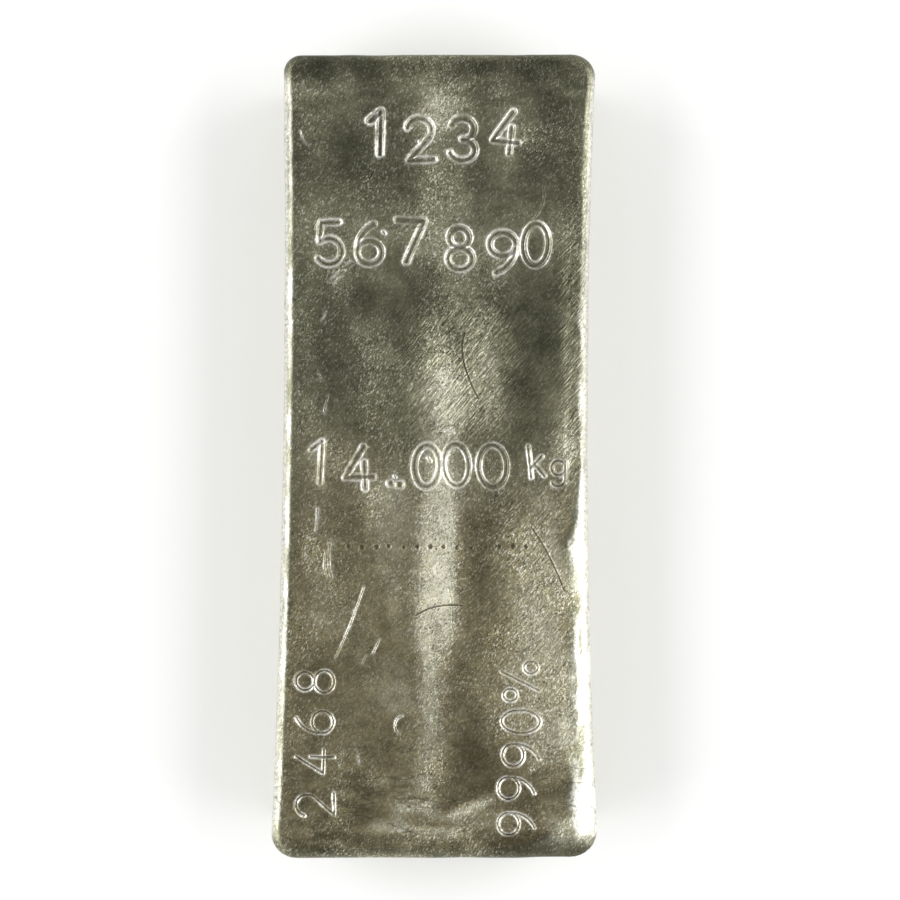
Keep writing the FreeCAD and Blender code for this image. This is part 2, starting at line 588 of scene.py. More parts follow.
    def depth_inside(self, x: np.ndarray, y: np.ndarray) -> np.ndarray:
        """How far points lie inside the outline.

        Away from the corners it is the lesser of the gaps to the nearest long side and end. Inside a corner's
        run it is the run less the distance from the corner's own centre.
        """
        to_right = self.long_x(True, y, 0.0) - x
        to_left = x - self.long_x(False, y, 0.0)
        across = np.minimum(to_right, to_left)
        along = self.half_length - np.abs(y)
        on_right, on_head = to_right < to_left, y > 0
        foot_left, foot_right, head_right, head_left = self.corner_runs
        head_run = np.where(on_right, head_right, head_left)
        foot_run = np.where(on_right, foot_right, foot_left)
        run = np.where(on_head, head_run, foot_run)
        rounded = run - np.hypot(np.maximum(run - across, 0.0), np.maximum(run - along, 0.0))
        return np.where((across < run) & (along < run), rounded, np.minimum(across, along))


# ---------------------------------------------------------------------------------------------------------
# Lattices and the closed mesh


@dataclass(frozen=True)
class Lattice:
    """Square cells that can be split ratio by ratio, sharing every point with their neighbours."""

    columns: int
    rows: int
    ratio: int

    def width(self) -> int:
        """Points in one row of the finest lattice."""
        return self.columns * self.ratio + 1

    def spread(self, points: np.ndarray) -> np.ndarray:
        """Fills the finest lattice by straight shares between the points of the coarse one."""

        def weights(cells: int) -> np.ndarray:
            """One row for each fine point, with its shares of the two coarse points beside it."""
            place = np.arange(cells * self.ratio + 1) / self.ratio
            return np.maximum(1.0 - np.abs(place[:, None] - np.arange(cells + 1)), 0.0)

        up = np.einsum("ij,jkc->ikc", weights(self.rows), points)
        return np.einsum("kj,ijc->ikc", weights(self.columns), up).reshape(-1, 2)

    def border(self, step: int) -> np.ndarray:
        """Point numbers round the edge against the clock, a given step of the finest lattice apart."""
        width, height = self.width(), self.rows * self.ratio + 1
        foot = np.arange(0, width - 1, step)
        right = np.arange(0, height - 1, step) * width + width - 1
        head = (height - 1) * width + np.arange(width - 1, 0, -step)
        left = np.arange(height - 1, 0, -step) * width
        return np.concatenate([foot, right, head, left])

    def split_faces(self, split: np.ndarray) -> np.ndarray:
        """The small quads of the cells that are split, as rows of four point numbers."""
        row, column = np.nonzero(split)
        i, j = np.meshgrid(np.arange(self.ratio), np.arange(self.ratio))
        x = (column[:, None] * self.ratio + i.ravel()).ravel()
        y = (row[:, None] * self.ratio + j.ravel()).ravel()
        first = y * self.width() + x
        return np.column_stack([first, first + 1, first + 1 + self.width(), first + self.width()])

    def whole_faces(self, split: np.ndarray, split_edge: bool) -> Iterator[np.ndarray]:
        """The cells that stay whole. A side shared with a split cell carries that cell's points too.

        Args:
            split: which cells are split.
            split_edge: whether the lattice's outer edge carries the small cells' points.

        Yields:
            Arrays of faces, one array for each pattern of sides.
        """
        padded = np.pad(split, 1, constant_values=split_edge)
        beside = [padded[:-2, 1:-1], padded[1:-1, 2:], padded[2:, 1:-1], padded[1:-1, :-2]]
        pattern = sum(flag.astype(int) << number for number, flag in enumerate(beside))
        n = self.ratio
        corners = [(0, 0), (n, 0), (n, n), (0, n)]
        steps = [(1, 0), (0, 1), (-1, 0), (0, -1)]
        for kind in range(16):
            row, column = np.nonzero(~split & (pattern == kind))
            offsets = [
                (x + k * dx, y + k * dy)
                for number, ((x, y), (dx, dy)) in enumerate(zip(corners, steps))
                for k in range(n if kind >> number & 1 else 1)
            ]
            shift = np.array([y * self.width() + x for x, y in offsets])
            yield (row * n * self.width() + column * n)[:, None] + shift


@dataclass
class ClosedMesh:
    """Points and faces that are gathered and then put into one Blender mesh."""

    points: list[np.ndarray] = field(default_factory=list)
    faces: list[np.ndarray] = field(default_factory=list)
    total: int = 0

    def add_points(self, points: np.ndarray) -> np.ndarray:
        """Adds points and returns their numbers."""
        self.points.append(points)
        numbers = np.arange(self.total, self.total + len(points))
        self.total += len(points)
        return numbers

    def add_faces(self, faces: np.ndarray) -> None:
        """Adds faces of one size, as rows of point numbers."""
        if len(faces):
            self.faces.append(faces)

    def add_band(self, inner: np.ndarray, outer: np.ndarray) -> None:
        """Joins two loops of equal length with quads, facing up where the outer one is further out."""
        self.add_faces(np.column_stack([inner, outer, np.roll(outer, -1), np.roll(inner, -1)]))

    def triangles(self) -> int:
        """How many triangles the faces make."""
        return sum(len(f) * (f.shape[1] - 2) for f in self.faces)

    def build(self, name: str, low: np.ndarray, high: np.ndarray) -> tuple[bpy.types.Object, np.ndarray]:
        """Drops unused points, fits the rest to the part's box and makes the object.

        The fit is a straight scale on each axis.

        Args:
            name: the object's name.
            low: the box's lowest corner.
            high: the box's highest corner.

        Returns:
            The object, and its points in millimetres.
        """
        points = np.concatenate(self.points)
        corners = np.concatenate([f.ravel() for f in self.faces])
        used, corners = np.unique(corners, return_inverse=True)
        points = points[used]
        least, most = points.min(0), points.max(0)
        points = low + (points - least) * (high - low) / (most - least)
        sizes = np.concatenate([np.full(len(f), f.shape[1]) for f in self.faces])
        starts = np.concatenate([[0], np.cumsum(sizes)[:-1]])
        mesh = bpy.data.meshes.new(name)
        mesh.vertices.add(len(points))
        mesh.vertices.foreach_set("co", (points * MM).astype(np.float32).ravel())
        mesh.loops.add(len(corners))
        mesh.loops.foreach_set("vertex_index", corners.astype(np.int32))
        mesh.polygons.add(len(starts))
        mesh.polygons.foreach_set("loop_start", starts.astype(np.int32))
        mesh.update(calc_edges=True)
        mesh.validate()
        mesh.shade_smooth()
        made = bpy.data.objects.new(name, mesh)
        bpy.context.scene.collection.objects.link(made)
        return made, points


# ---------------------------------------------------------------------------------------------------------
# The bar


@dataclass(frozen=True)
class Patch:
    """A soft-edged area of the pour face that is lighter or darker than its surroundings."""

    x: float
    y: float
    half_width: float
    half_length: float
    lift: float
    turn: float = 0.0

    def over(self, x: np.ndarray, y: np.ndarray) -> np.ndarray:
        """The lift at each point: a bell with a broad top, which sinks with a power of the distance."""
        angle = math.radians(self.turn)
        dx, dy = x - self.x, y - self.y
        across = (dx * math.cos(angle) + dy * math.sin(angle)) / self.half_width
        along = (dy * math.cos(angle) - dx * math.sin(angle)) / self.half_length
        return self.lift * np.exp(-((across**2 + along**2) ** PATCH_POWER))


@dataclass
class SilverBar:
    """The bar itself: its sizes, its one mesh and the attributes that its finish reads."""

    box_low: np.ndarray
    box_high: np.ndarray
    columns: int = 82
    rows: int = 212
    ratio: int = 4
    rim_inset: float = 4.8
    rim_steps: int = 16
    side_steps: int = 25
    base_steps: int = 6
    draft: float = math.radians(7.0)
    roll_width: float = 3.3
    roll_drop: float = 2.9
    roll_power: float = 1.8
    broad_width: float = 9.6
    broad_drop: float = 4.6
    base_roll: float = 5.4
    dish_depth: float = 1.3
    dish_half_width: float = 46.0
    dish_half_length: float = 128.0
    half_width: float = field(init=False)
    half_length: float = field(init=False)
    height: float = field(init=False)
    plan: BarPlan = field(init=False)
    grooves: list[Groove] = field(init=False)

    def __post_init__(self) -> None:
        """Takes the sizes from the box, and draws the outline and the marks."""
        width, length, self.height = self.box_high - self.box_low
        self.half_width, self.half_length = width / 2, length / 2
        self.plan = BarPlan(self.half_width, self.half_length, self.columns, self.rows)
        self.grooves = Marks().grooves()

    # --- the pour face

    def roll_at(self, x: np.ndarray, y: np.ndarray) -> tuple[np.ndarray, np.ndarray, np.ndarray]:
        """The rolled rim's section at a place: broader, deeper and flatter along the right side's foot half.

        Args:
            x: across the bar.
            y: along it.

        Returns:
            The roll's width, its drop, and the power of its superellipse.
        """
        on_right = ease(x, 26.0, 46.0)
        broad = on_right * (0.05 + 0.6 * ease(y, -12.0, -34.0) + 0.35 * ease(y, -88.0, -116.0))
        ragged = 0.9 * on_right * (Noise(8.0, 61).at(x, y) + 0.5 * Noise(3.2, 62).at(x, y))
        width = self.roll_width + (self.broad_width - self.roll_width) * broad + ragged
        drop = self.roll_drop + (self.broad_drop - self.roll_drop) * broad
        return width, drop, self.roll_power - 0.5 * broad

    def roll_fall(self, x: np.ndarray, y: np.ndarray, inside: np.ndarray) -> np.ndarray:
        """How far the rim has rolled down at a distance inside the outline.

        Its section is a superellipse: drop times (1 - (1 - v to the p) to the 1/p), where v is how far out of
        the roll's width the point is, as a share.
        """
        width, drop, power = self.roll_at(x, y)
        out = np.clip(1.0 - inside / width, 0.0, 1.0)
        return drop * (1.0 - (1.0 - out**power) ** (1.0 / power))

    def hollow(self, x: np.ndarray, y: np.ndarray) -> np.ndarray:
        """The dish: its depth times 1 less the squared shares of its half sizes, kept above 0."""
        share = 1.0 - (x / self.dish_half_width) ** 2 - (y / self.dish_half_length) ** 2
        return self.dish_depth * 0.5 * (share + np.sqrt(share**2 + 0.02))

    def swell(self, x: np.ndarray, y: np.ndarray) -> np.ndarray:
        """Slow lumps and a shallow spine where the silver froze last."""
        lumps = (
            0.25 * Noise(34.0, 3).at(x, y * 0.7)
            + 0.13 * Noise(13.0, 5).at(x, y)
            + 0.06 * Noise(5.0, 7).at(x, y)
        )
        spine = 0.25 * hump(x, 2.0, 7.0) * ease(y, 60.0, 10.0) * ease(y, -125.0, -90.0)
        gutter = -0.3 * hump(x, 47.5, 2.6) * ease(y, 80.0, 40.0)
        folds = (1.0 - np.abs(Noise(9.0, 9).at(x * 0.7, y * 1.5))) ** 5
        return lumps + spine + gutter - 0.32 * folds * self.folding(x, y)

    def folding(self, x: np.ndarray, y: np.ndarray) -> np.ndarray:
        """Where the freezing skin crept into folds: most near the foot, and a little everywhere."""
        return 0.18 + 0.82 * ease(y, -84.0, -112.0) * ease(y, -136.0, -128.0)

    def struck(self, x: np.ndarray, y: np.ndarray) -> tuple[np.ndarray, np.ndarray, np.ndarray]:
        """The marks at points of the pour face.

        Args:
            x: across the bar.
            y: along it.

        Returns:
            The marks' height, their painted highlight on lips and walls, partly burnish, and how dark their
            hollows are painted, partly soiling and partly painted shade.
        """
        height = np.zeros_like(x)
        bright = np.zeros_like(x)
        soil_shade = np.zeros_like(x)
        for groove in self.grooves:
            section = groove.cut.value
            picked = groove.near(x, y, groove.half_width + MARK_MARGIN)
            gap = distance_to(groove.path, x[picked], y[picked])
            hollow, lip = groove.section(gap)
            strength = groove.strength(x[picked], y[picked])
            depth = groove.depth * strength
            height[picked] = np.minimum(height[picked], -depth * hollow) + section.lip_height * lip * strength
            if section.shines:
                # Painted highlight on the walls and lip, partly burnish: patchy, and weaker where the strike
                # or the cut is lighter.
                wall = 4.0 * hollow * (1.0 - hollow)
                patchy = np.clip(0.9 + 1.0 * Noise(3.4, 85).at(x[picked], y[picked]), 0.5, 1.25)
                deep = min(1.0, 0.45 + 0.7 * groove.depth)
                shine = (0.95 * wall + 0.55 * lip) * np.minimum(strength, 1.0) * patchy * deep
                bright[picked] = np.maximum(bright[picked], shine)
            # The hollow's darkening: partly soiling, partly painted shade.
            held = min(1.0, section.soil_shade + section.soil_shade_by_depth * groove.depth)
            covered = held * ease(hollow, section.soil_shade_from, section.soil_shade_by)
            soil_shade[picked] = np.maximum(soil_shade[picked], covered)
        return height, bright, soil_shade

    def face_height(self, x: np.ndarray, y: np.ndarray, inside: np.ndarray) -> np.ndarray:
        """The rim's level less the roll and the dish, with lumps that fade towards the rim."""
        settled = ease(inside, 0.0, 5.0)
        return self.height - self.roll_fall(x, y, inside) - self.hollow(x, y) + settled * self.swell(x, y)

    def split_cells(self, coarse: np.ndarray) -> np.ndarray:
        """Which cells of the pour face are split: those with a groove's reach of their middle.

        Args:
            coarse: the coarse lattice's points.

        Returns:
            A (rows, columns) array of flags.
        """
        middle = (coarse[:-1, :-1] + coarse[1:, :-1] + coarse[:-1, 1:] + coarse[1:, 1:]) / 4
        x, y = middle[..., 0].ravel(), middle[..., 1].ravel()
        cell = 2.0 * self.half_length / self.rows
        split = np.zeros(len(x), bool)
        for groove in self.grooves:
            picked = groove.near(x, y, groove.reach() + cell)
            near = distance_to(groove.path, x[picked], y[picked]) < groove.reach() + 0.45 * cell
            split[picked] |= near
        flags = split.reshape(self.rows, self.columns)
        flags[[0, -1], :] = False
        flags[:, [0, -1]] = False
        return flags

    # --- the sides and the base

    def laps(self, x: np.ndarray, y: np.ndarray, z: np.ndarray) -> np.ndarray:
        """How far the cast skin of the sides stands in from true, from laps, lumps and pits.

        The laps are a sine of height, its phase shifted by slow noise so that the lines wander.
        """
        wander = 3.2 * Noise(46.0, 21).at(x, y, z * 0.4) + 1.1 * Noise(13.0, 22).at(x, y, z)
        ridge = 0.5 + 0.5 * np.sin(2.0 * math.pi * (z + wander) / 7.4)
        lumps = 0.5 + 0.5 * Noise(17.0, 23).at(x, y, z)
        pits = ease(Noise(3.6, 24).at(x, y, z), 0.45, 0.95)
        return 0.26 * ridge**2 * (0.4 + 0.6 * lumps) + 0.3 * lumps + 0.3 * pits

    def build(self) -> tuple[bpy.types.Object, np.ndarray]:
        """Makes the closed mesh.

        Returns:
            The object, and its points in millimetres.
        """
        mesh = ClosedMesh()
        lattice = Lattice(self.columns, self.rows, self.ratio)
        coarse = self.plan.patch(self.rim_inset)
        split = self.split_cells(coarse)
        flat = lattice.spread(coarse)
        x, y = flat[:, 0], flat[:, 1]
        z = self.face_height(x, y, self.plan.depth_inside(x, y)) + self.struck(x, y)[0]
        numbers = mesh.add_points(np.column_stack([x, y, z]))
        mesh.add_faces(numbers[lattice.split_faces(split)])
        for faces in lattice.whole_faces(split, split_edge=False):
            mesh.add_faces(numbers[faces])
        ring, heights = self.add_rim(mesh, numbers[lattice.border(self.ratio)])
        ring, inset = self.add_sides(mesh, ring, heights)
        self.add_base(mesh, ring, float(inset.mean()))
        log.info("%s: %d cells split, %d triangles", PIECE, split.sum(), mesh.triangles())
        return mesh.build(PIECE, self.box_low, self.box_high)

    def add_rim(self, mesh: ClosedMesh, ring: np.ndarray) -> tuple[np.ndarray, np.ndarray]:
        """Adds the loops from the pour face out over the rolled rim, closer together as it steepens.

        Args:
            mesh: the mesh that the loops go into.
            ring: the point numbers round the pour face.

        Returns:
            The last loop's point numbers and heights.
        """
        for step in range(1, self.rim_steps + 1):
            inside = self.rim_inset * (1.0 - math.sin(0.5 * math.pi * step / self.rim_steps))
            loop = self.plan.loop(inside)
            x, y = loop[:, 0], loop[:, 1]
            inset = np.full(len(x), inside)
            z = self.face_height(x, y, inset)
            following = mesh.add_points(np.column_stack([x, y, z]))
            mesh.add_band(ring, following)
            ring = following
        return ring, z

    def add_sides(
        self, mesh: ClosedMesh, ring: np.ndarray, heights: np.ndarray
    ) -> tuple[np.ndarray, np.ndarray]:
        """Adds the loops down the drafted sides and round the base's rolled edge.

        Args:
            mesh: the mesh that the loops go into.
            ring: the point numbers at the top of the sides.
            heights: those points' heights.

        Returns:
            The last loop's point numbers and insets.
        """
        for step in range(1, self.side_steps + 1):
            share = step / self.side_steps
            z = heights + (self.base_roll - heights) * share
            inset = (heights - z) * math.tan(self.draft)
            rough = self.plan.loop(inset)
            skin = self.laps(rough[:, 0], rough[:, 1], z) * ease(heights - z, 0.0, 5.0)
            loop = self.plan.loop(inset + skin)
            following = mesh.add_points(np.column_stack([loop, z]))
            mesh.add_band(ring, following)
            ring = following
        for step in range(1, self.base_steps + 1):
            angle = 0.5 * math.pi * step / self.base_steps
            z = np.full(len(heights), self.base_roll * (1.0 - math.sin(angle)))
            fade = 1.0 - step / self.base_steps
            loop = self.plan.loop(inset + skin * fade + self.base_roll * (1.0 - math.cos(angle)))
            following = mesh.add_points(np.column_stack([loop, z]))
            mesh.add_band(ring, following)
            ring = following
        return ring, inset + self.base_roll

    def add_base(self, mesh: ClosedMesh, ring: np.ndarray, inset: float) -> None:
        """Closes the bar with its base, flat but for dents that rise into it.

        Args:
            mesh: the mesh that the base goes into.
            ring: the point numbers round the base.
            inset: how far the base's edge lies inside the outline.
        """
        half_lattice = Lattice(self.columns // 2, self.rows // 2, 2)
        points = self.plan.patch(inset).reshape(-1, 2)
        border = half_lattice.border(1)
        stored = np.concatenate(mesh.points)[ring]
        x, y = points[:, 0].copy(), points[:, 1].copy()
        x[border], y[border] = stored[:, 0], stored[:, 1]
        broad = 0.35 * ease(Noise(11.0, 31).at(x, y), 0.1, 0.9)
        fine = 0.2 * ease(Noise(4.5, 32).at(x, y), 0.3, 0.9)
        away = ease(self.plan.depth_inside(x, y) - inset, 0.0, 8.0)
        numbers = mesh.add_points(np.column_stack([x, y, (broad + fine) * away]))
        numbers[border] = ring
        whole = np.zeros((half_lattice.rows, half_lattice.columns), bool)
        for faces in half_lattice.whole_faces(whole, split_edge=True):
            mesh.add_faces(numbers[faces][:, ::-1])

    # --- what the finish reads

    def tone_and_reflection_patches(self) -> list[Patch]:
        """Lighter and darker areas of the pour face, from head to foot: mostly painted reflections and
        painted shade, such as the light band down the middle, the dark strip on the right and the highlight
        on the ridge across the foot, with lighter scuffs and darker stains among them.
        """
        return [
            Patch(1.0, 120.0, 7.0, 9.0, 0.60),
            Patch(14.0, 126.0, 11.0, 7.0, -0.38),
            Patch(15.0, 111.0, 9.0, 10.0, -0.28),
            Patch(-27.0, 134.0, 8.0, 4.0, 0.34),
            Patch(-14.0, 66.0, 7.0, 7.0, -0.40),
            Patch(30.0, 81.0, 8.0, 5.0, 0.34),
            Patch(-42.0, 36.0, 6.0, 14.0, 0.17),
            Patch(3.0, 98.0, 11.0, 34.0, 0.42),
            Patch(-30.0, 110.0, 10.0, 8.0, -0.15),
            Patch(-24.0, 84.0, 22.0, 8.0, 0.12),
            Patch(20.0, 89.0, 12.0, 9.0, -0.15),
            Patch(0.0, 66.0, 42.0, 9.0, 0.18),
            Patch(-18.0, 53.0, 14.0, 6.5, -0.40),
            Patch(8.0, 56.0, 10.0, 7.0, 0.10),
            Patch(-17.0, 22.0, 9.0, 16.0, 0.16),
            Patch(-36.0, 34.0, 9.0, 20.0, -0.12),
            # Painted shade: the dark strip down the right of the head half.
            Patch(35.0, 45.0, 10.0, 28.0, -0.62),
            # Painted reflection: the light band down the middle, below the head figures.
            Patch(3.0, 24.0, 6.5, 25.0, 0.50, 6.0),
            Patch(17.5, 24.0, 8.0, 24.0, 0.30),
            Patch(14.0, -9.0, 11.0, 12.0, 0.34),
            Patch(1.0, -18.0, 6.0, 9.0, 0.22),
            Patch(-18.0, 0.0, 7.0, 9.0, 0.24),
            # Painted reflection: the light band down the middle of the foot half.
            Patch(5.0, -40.0, 2.4, 28.0, 0.45, -1.0),
            Patch(0.0, -48.0, 6.5, 44.0, 1.02, -2.0),
            Patch(6.0, -36.0, 5.0, 30.0, 0.35, 4.0),
            Patch(0.0, -98.0, 7.0, 22.0, 0.35),
            # Painted light: lighter down the right of the foot half.
            Patch(36.0, -55.0, 11.0, 48.0, 0.50),
            Patch(38.0, -96.0, 10.0, 12.0, 0.26),
            Patch(47.0, -30.0, 4.0, 16.0, -0.30),
            Patch(47.0, -76.0, 5.0, 40.0, 0.22),
            Patch(-45.0, 60.0, 4.5, 60.0, 0.16),
            Patch(18.0, -48.0, 7.0, 42.0, -0.12),
            Patch(-12.0, -58.0, 8.0, 12.0, -0.14),
            Patch(-8.0, -80.0, 8.0, 8.0, 0.28),
            Patch(-30.0, -84.0, 10.0, 8.0, 0.24),
            Patch(-10.0, -94.0, 22.0, 15.0, 0.24),
            Patch(-9.0, -116.0, 9.0, 11.0, 0.48),
            Patch(12.0, -108.0, 8.0, 13.0, -0.42),
            Patch(38.0, -116.0, 12.0, 8.0, -0.25),
            Patch(-24.0, -116.0, 24.0, 10.0, -0.10),
            # Painted highlight along the ridge across the foot, with painted shade beside it.
            Patch(6.0, -128.0, 18.0, 4.0, 0.60, 10.0),
            Patch(14.0, -121.5, 10.0, 1.9, 1.05, 18.0),
            Patch(-6.0, -122.0, 7.0, 2.2, 0.75, -4.0),
            Patch(8.0, -127.5, 15.0, 1.5, -0.45, 8.0),
            Patch(0.0, -135.5, 12.0, 3.0, 0.40),
            Patch(47.0, -131.0, 8.0, 6.0, 0.70),
            Patch(47.0, -95.0, 4.0, 6.0, 0.40),
            Patch(-4.0, -131.0, 16.0, 2.6, 0.40, -6.0),
            Patch(40.0, -106.0, 5.0, 10.0, 0.30),
            Patch(-40.0, -24.0, 5.0, 40.0, 0.20),
            Patch(46.0, 3.0, 6.0, 8.0, 0.60),
        ]

    def struck_patches(self) -> list[Patch]:
        """The lighter metal round each deep figure."""
        deep = [punch for punch in Marks().punches() if punch.depth > 0.6]
        return [Patch(punch.x, punch.y, 0.5 * punch.height, 0.55 * punch.height, 0.16) for punch in deep]

    def tone(self, x: np.ndarray, y: np.ndarray) -> np.ndarray:
        """How light the pour face's metal is.

        It is a rise from head to foot, times e to the sum of the patches, mostly painted reflections and
        painted shade, the painted shade that darkens the ends, the mottle and the streaks across the foot and
        the brow.
        """
        rise = 0.190 + 0.072 * ease(y, 50.0, -40.0)
        lift = sum(patch.over(x, y) for patch in self.tone_and_reflection_patches() + self.struck_patches())
        # Painted shade: darker from 14 mm inside each end.
        ends = -0.65 * ease(np.abs(y), self.half_length - 14.0, self.half_length - 4.0)
        wander = 3.0 * Noise(7.0, 46).at(x, y)
        edged = 0.20 * np.tanh(4.0 * Noise(12.0, 45).at(x + 0.25 * y, y * 0.6 + wander))
        foot = ease(y, -96.0, -116.0) * 0.38 * Noise(2.4, 44).at(x * 0.4 - 0.1 * y, y)
        brow = ease(y, 112.0, 126.0) * 0.35 * Noise(2.8, 47).at(x * 0.35, y)
        mottle = (
            0.22 * Noise(19.0, 40).at(x, y * 0.7)
            + 0.16 * Noise(8.0, 41).at(x, y * 0.4)
            + 0.06 * Noise(3.4, 42).at(x, y * 0.6)
        )
        return rise * np.exp(lift + ends + mottle + edged + foot + brow)

    def sparkle(self, x: np.ndarray, y: np.ndarray) -> np.ndarray:
        """How strongly the grain of the face glints: most in the light areas, in patches elsewhere."""
        lift = sum(patch.over(x, y) for patch in self.tone_and_reflection_patches())
        patchy = 0.5 + 0.5 * Noise(11.0, 71).at(x, y * 0.7)
        calm = Patch(-22.0, -95.0, 24.0, 26.0, 0.5).over(x, y) + Patch(35.0, 45.0, 12.0, 30.0, 0.4).over(x, y)
        return np.clip(0.33 + 0.6 * np.maximum(lift, -0.4) + 0.7 * patchy**2 - calm, 0.22, 1.0)

    def dress(self, bar: bpy.types.Object, points: np.ndarray) -> None:
        """Stores the attributes that the finish reads, each a number for every point.

        Args:
            bar: the bar's object.
            points: its points in millimetres.
        """
        x, y, z = points.T
        width, drop, _ = self.roll_at(x, y)
        on_face = ease(z, self.height - drop - 1.7, self.height - drop - 0.2)
        inside = self.plan.depth_inside(x, y)
        _, bright, soil_shade = self.struck(x, y)
        # Painted highlights, partly burnish: along the rolled rim, most on the right side's foot half, and on
        # the sides, but none near the ends, which keep their painted shade.
        away = ease(np.abs(y), self.half_length - 3.0, self.half_length - 12.0)
        lower_right = ease(x, 30.0, 45.0) * ease(y, -10.0, -60.0)
        streaks = Noise(1.7, 82).at(x, y * 0.3)
        wear_highlight = 0.72 + 0.5 * Noise(6.0, 81).at(x, y * 0.5) + (0.4 + 0.6 * lower_right) * streaks
        ragged = inside / width + 0.35 * lower_right * streaks
        rub_highlight = 0.45 + 0.25 * lower_right - 0.28 * ease(x, 30.0, 45.0) * ease(y, 40.0, 80.0)
        rim_highlight = rub_highlight * ease(ragged, 1.15, 0.75) * away * wear_highlight
        rim_highlight = np.maximum(rim_highlight, 0.55 * ease(inside / width, 0.6, 0.25) * away)
        dull = 1.0 - 0.12 * lower_right * ease(ragged, 1.4, 1.0)
        # Painted highlight on the sides: a little everywhere, more along their top, none near the ends.
        edge = 0.12 + 0.5 * wear_highlight * ease(z, self.height - 9.0, self.height - 4.5) * away
        flank = 0.33 * np.exp(0.30 * Noise(15.0, 52).at(x * 0.5, y * 0.5, z * 2.2))
        browned = ease(y + 12.0 * Noise(30.0, 51).at(x, y), 40.0, -60.0)
        off_rim = 1.0 - 0.9 * ease(inside / width, 1.3, 0.9)
        off_face = 1.0 - on_face
        fields = {
            "tone": on_face * self.tone(x, y) * dull + off_face * flank,
            "warm": on_face * browned * off_rim + off_face * 0.1,
            "bright": on_face * np.maximum(bright, rim_highlight) + off_face * edge,
            "soil_shade": on_face * soil_shade,
            "hatch": on_face * self.hatching(x, y),
            "skin": on_face,
            "sparkle": on_face * self.sparkle(x, y) + off_face * 0.3,
            "folds": on_face * self.folding(x, y) + off_face * 0.4,
        }
        for name, values in fields.items():
            layer = bar.data.attributes.new(name, "FLOAT", "POINT")
            layer.data.foreach_set("value", values.astype(np.float32))

    def hatching(self, x: np.ndarray, y: np.ndarray) -> np.ndarray:
        """Where the face was scuffed by a wire brush: the light band and the right side."""
        band = 0.9 * hump(x, 9.0, 19.0) * ease(y, 62.0, 45.0) * ease(y, 0.0, 14.0)
        rim = 0.8 * hump(x, 49.0, 6.0) * ease(y, 95.0, 70.0) * ease(y, -20.0, 5.0)
        right = 0.42 * hump(x, 34.0, 15.0) * ease(y, 0.0, -20.0) * ease(y, -100.0, -60.0)
        return np.clip(0.10 + band + rim + right, 0.0, 1.0)


# ---------------------------------------------------------------------------------------------------------
# Finish


Linked: TypeAlias = "bpy.types.NodeSocket | Value | float | tuple | int"


class NodeSheet:
    """A node tree that nodes are added to in one way."""

    def __init__(self, tree: bpy.types.NodeTree) -> None:
        """Empties the tree."""
        self.tree = tree
        tree.nodes.clear()

    def add(self, kind: str, settings: dict | None = None, sockets: dict | None = None) -> bpy.types.Node:
        """Adds a node, sets its settings, and then fills its sockets.

        Args:
            kind: the node's type.
            settings: properties by name.
            sockets: socket values or links, by name or number.

        Returns:
            The node.
        """
        node = self.tree.nodes.new(kind)
        for name, value in (settings or {}).items():
            setattr(node, name, value)
        for name, value in (sockets or {}).items():
            self.fill(node.inputs[name], value)
        return node

    def fill(self, socket: bpy.types.NodeSocket, value: Linked) -> None:
        """Links a socket or sets its value."""
        if isinstance(value, Value):
            value = value.socket
        if isinstance(value, bpy.types.NodeSocket):
            self.tree.links.new(value, socket)
        else:
            socket.default_value = value

    def value(self, node: bpy.types.Node, output: str | int = 0) -> "Value":
        """An output of a node, ready for use in an expression."""
        return Value(self, node.outputs[output])


class Value:
    """A number's socket. An expression on it adds the Math nodes that work it out."""

    def __init__(self, sheet: NodeSheet, socket: bpy.types.NodeSocket) -> None:
        """Holds a socket of a sheet."""
        self.sheet = sheet
        self.socket = socket

    def math(self, operation: str, first: Linked, second: Linked) -> "Value":
        """A Math node on two values."""
        node = self.sheet.add("ShaderNodeMath", {"operation": operation}, {0: first, 1: second})
        return self.sheet.value(node)

    def __add__(self, other: Linked) -> "Value":
        """self + other."""
        return self.math("ADD", self, other)

    def __radd__(self, other: Linked) -> "Value":
        """other + self."""
        return self.math("ADD", other, self)

    def __sub__(self, other: Linked) -> "Value":
        """self - other."""
        return self.math("SUBTRACT", self, other)

    def __rsub__(self, other: Linked) -> "Value":
        """other - self."""
        return self.math("SUBTRACT", other, self)

    def __mul__(self, other: Linked) -> "Value":
        """self * other."""
        return self.math("MULTIPLY", self, other)

    def __rmul__(self, other: Linked) -> "Value":
        """other * self."""
        return self.math("MULTIPLY", other, self)

    def absolute(self) -> "Value":
        """The value without its sign."""
        return self.math("ABSOLUTE", self, 0.0)

    def at_least(self, least: float) -> "Value":
        """The value, or the least allowed where it is lower."""
        return self.math("MAXIMUM", self, least)

    def eased(self, low: float, high: float) -> "Value":
        """0 at low and 1 at high, eased at both ends."""
        node = self.sheet.add(
            "ShaderNodeMapRange",
            {"interpolation_type": "SMOOTHSTEP"},
            {"Value": self, "From Min": low, "From Max": high},
        )
        return self.sheet.value(node)


class MixSocket(Enum):
    """The Mix node's colour sockets, by number."""

    FACTOR = 0
    FIRST = 6
    SECOND = 7
    RESULT = 2


